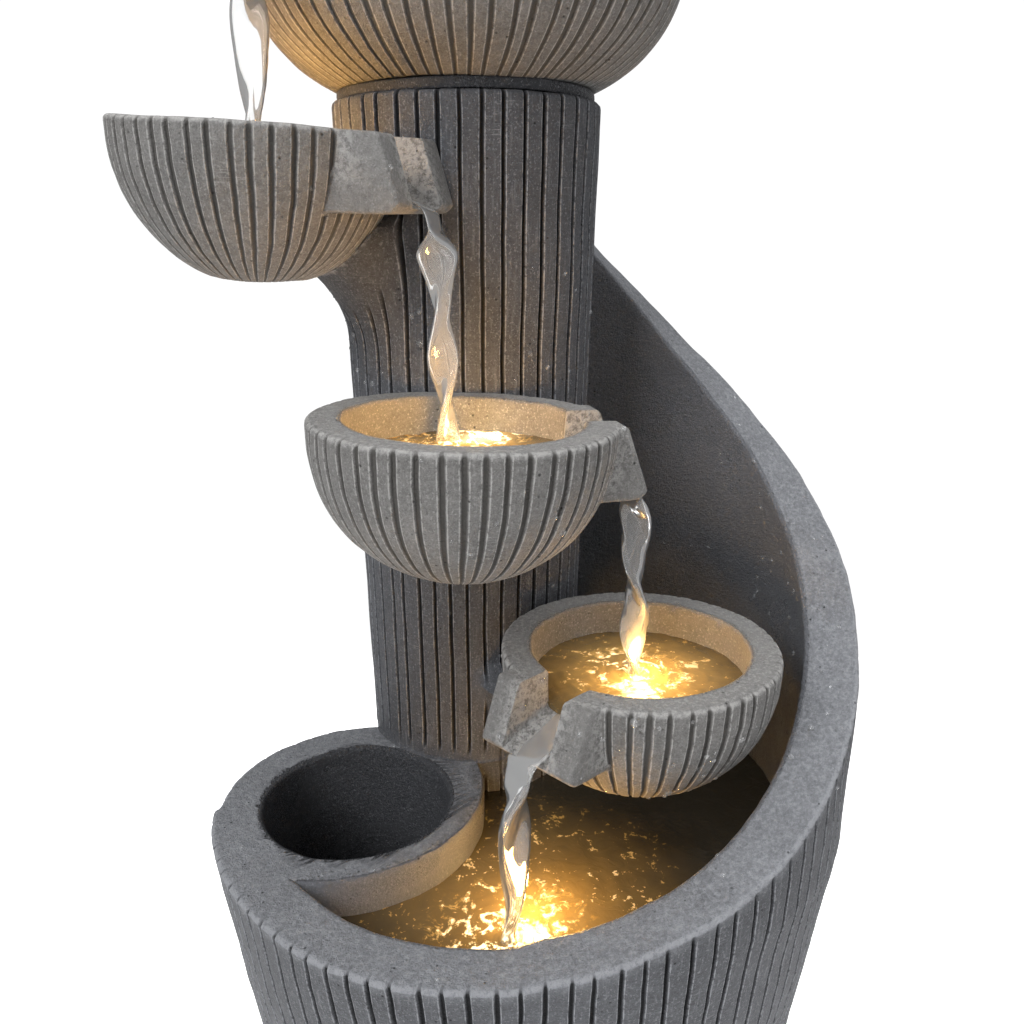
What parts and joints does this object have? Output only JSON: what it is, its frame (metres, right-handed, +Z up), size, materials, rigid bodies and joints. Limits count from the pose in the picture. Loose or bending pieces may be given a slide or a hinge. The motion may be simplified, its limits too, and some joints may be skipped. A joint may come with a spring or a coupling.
{
  "type": "tiered water fountain",
  "caption": "Free-standing cascading fountain: round bowls with spouts stepping down a ribbed column into a basin with a spiral side wall and a planting pocket.",
  "frame": {"origin": "centre of the fountain's footprint, on the ground", "axes": "+Z up, -Y towards the front, +X to the right seen from the front"},
  "size_m": [0.5213, 0.4902, 0.958],
  "materials": {
    "dark_cast_stone": "sanded, slightly wet",
    "light_cast_stone": "sanded, slightly wet",
    "black_rubber": "matte",
    "black_plastic": "moulded",
    "grey_plastic": "moulded",
    "ceramic_shaft": "ground",
    "clear_vinyl": "gloss",
    "spring_steel": "brushed",
    "warm_lens": "clear, lit warm white",
    "black_cable": "satin"
  },
  "bodies": {
    "root": {"base_casting": "dark_cast_stone", "column_foot": "dark_cast_stone", "wing_wall": "dark_cast_stone", "column_casting": "dark_cast_stone", "upper_bracket": "dark_cast_stone", "middle_bracket": "dark_cast_stone", "lower_bracket": "dark_cast_stone", "top_bowl": "light_cast_stone", "upper_bowl": "light_cast_stone", "middle_bowl": "light_cast_stone", "lower_bowl": "light_cast_stone", "neck_ring": "dark_cast_stone", "cord_grommet": "black_rubber", "pump_housing": "black_plastic", "pump_outlet_barb": "black_plastic", "lead_junction": "black_plastic", "impeller_shaft": "ceramic_shaft", "pump_suction_cups": "black_rubber", "riser_tube": "clear_vinyl", "riser_clamp": "spring_steel", "bubbler_nozzle": "black_plastic", "nozzle_washer": "black_rubber", "led_housing_upper": "black_plastic", "led_lens_upper": "warm_lens", "led_lead_upper": "black_cable", "led_housing_middle": "black_plastic", "led_lens_middle": "warm_lens", "led_lead_middle": "black_cable", "led_housing_lower": "black_plastic", "led_lens_lower": "warm_lens", "led_lead_lower": "black_cable", "led_housing_basin": "black_plastic", "led_lens_basin": "warm_lens", "led_lead_basin": "black_cable", "pump_lead": "black_cable"},
    "impeller": {"pump_impeller": "black_plastic"},
    "strainer": {"pump_strainer": "black_plastic"},
    "flow_dial": {"pump_flow_dial": "grey_plastic"},
    "rear_door": {"rear_door": "dark_cast_stone"}
  },
  "joints": [
    {"name": "impeller_spin", "type": "hinge", "parent": "root", "child": "impeller", "pos_m": [-0.0304, 0.0851, 0.25], "axis": [0, 1, 0], "continuous": true},
    {"name": "strainer_slide", "type": "slide", "parent": "root", "child": "strainer", "axis": [0, -1, 0], "range_m": [0, 0.022]},
    {"name": "flow_dial_turn", "type": "hinge", "parent": "strainer", "child": "flow_dial", "pos_m": [-0.0304, 0.0517, 0.25], "axis": [0, -1, 0], "range_deg": [0, 90]},
    {"name": "rear_door_slide", "type": "slide", "parent": "root", "child": "rear_door", "axis": [-0.866, 0.5, 0], "range_m": [0, 0.06]}
  ]
}
